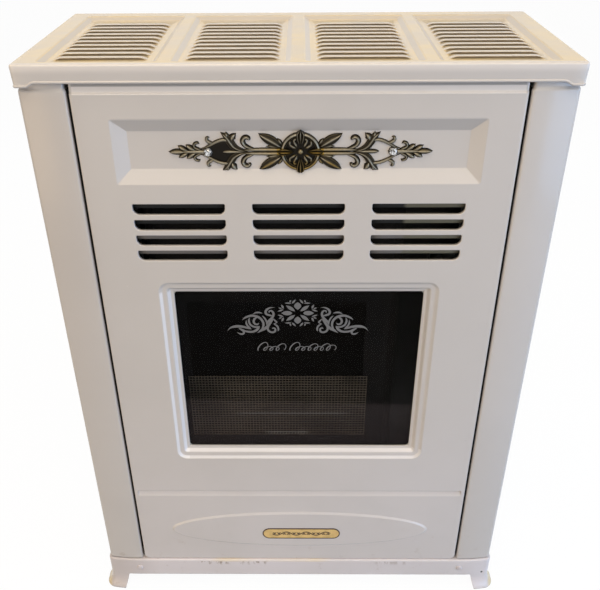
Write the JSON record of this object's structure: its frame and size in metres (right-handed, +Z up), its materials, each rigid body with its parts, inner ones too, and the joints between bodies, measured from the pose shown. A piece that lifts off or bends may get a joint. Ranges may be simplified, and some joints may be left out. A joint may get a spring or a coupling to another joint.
{
  "type": "floor-standing gas heater",
  "caption": "Floor-standing gas heater in pressed enamelled sheet: bowed side panels, louvred lid, slotted front with dark window and brass ornament, rear flue, side controls.",
  "frame": {"origin": "on the floor, under the centre of the heater's bounding box", "axes": "+X to the heater's right as seen from its front, +Y from front to back, +Z up"},
  "size_m": [0.581, 0.3038, 0.77],
  "materials": {
    "enamel": "glossy vitreous enamel, warm grey-beige",
    "zinc_plate": "bright zinc-plated sheet",
    "spring_steel": "plated spring steel",
    "dark_screw": "blackened screw head",
    "black_heatproof": "matt heat-proof black",
    "mesh_steel": "heat-stained wire and tube",
    "flue_steel": "aluminised steel tube",
    "pane": "dark tinted heat-proof glass",
    "gasket_cord": "flat glass-fibre cord",
    "cast_brass": "patinated brass with worn gold tips",
    "crystal": "clear faceted stud",
    "badge_metal": "plain satin plate",
    "brass": "machined brass",
    "copper": "drawn copper pipe",
    "ceramic": "glazed white ceramic",
    "lead_sleeve": "black silicone sleeve",
    "die_cast": "bare die casting",
    "black_plastic": "heat-proof moulding",
    "button_plastic": "red push button"
  },
  "bodies": {
    "cabinet": {"top_cover": "enamel", "left_side_panel": "enamel", "right_side_panel": "enamel", "base_plinth": "enamel", "bottom_pan": "zinc_plate", "rear_panel": "zinc_plate", "rear_screws": "spring_steel", "foot_screws": "dark_screw", "left_panel_stile": "zinc_plate", "right_panel_stile": "zinc_plate", "front_upper_rail": "zinc_plate", "front_lower_rail": "zinc_plate", "clip_studs": "spring_steel", "combustion_chamber": "black_heatproof", "chamber_supports": "zinc_plate", "radiant_mesh": "mesh_steel", "flue_hood": "black_heatproof", "flue_spigot": "flue_steel", "flue_collar": "zinc_plate", "rear_heat_shield": "zinc_plate", "burner_tube": "mesh_steel", "burner_brackets": "zinc_plate", "injector": "brass", "gas_pipe": "copper", "pilot_bracket": "zinc_plate", "pilot_burner": "brass", "pilot_pipe": "copper", "thermocouple": "copper", "spark_electrode": "ceramic", "ignition_lead": "lead_sleeve", "gas_valve": "die_cast", "valve_bracket": "zinc_plate", "control_recess": "zinc_plate", "piezo_igniter": "black_plastic", "igniter_nut": "spring_steel", "inlet_pipe": "copper", "inlet_nipple": "brass"},
    "front_panel": {"front_panel": "enamel", "window_glass": "pane", "window_gasket": "gasket_cord", "glass_clips": "spring_steel", "ornament": "cast_brass", "ornament_crystals": "crystal", "badge_plate": "badge_metal", "panel_clips": "spring_steel"},
    "valve_spindle": {"valve_spindle": "brass"},
    "control_knob": {"control_knob": "black_plastic"},
    "igniter_button": {"igniter_button": "button_plastic"}
  },
  "joints": [
    {"name": "control_turn", "type": "hinge", "parent": "cabinet", "child": "valve_spindle", "pos_m": [0.25, -0.0171, 0.445], "axis": [1, 0, 0], "range_deg": [0, 240]},
    {"name": "knob_push", "type": "slide", "parent": "valve_spindle", "child": "control_knob", "axis": [-1, 0, 0], "range_m": [0, 0.004], "stiffness_N_per_m": 400},
    {"name": "igniter_press", "type": "slide", "parent": "cabinet", "child": "igniter_button", "axis": [-1, 0, 0], "range_m": [0, 0.005], "stiffness_N_per_m": 800},
    {"name": "front_panel_pull", "type": "slide", "parent": "cabinet", "child": "front_panel", "axis": [0, -1, 0], "range_m": [0, 0.08]}
  ]
}
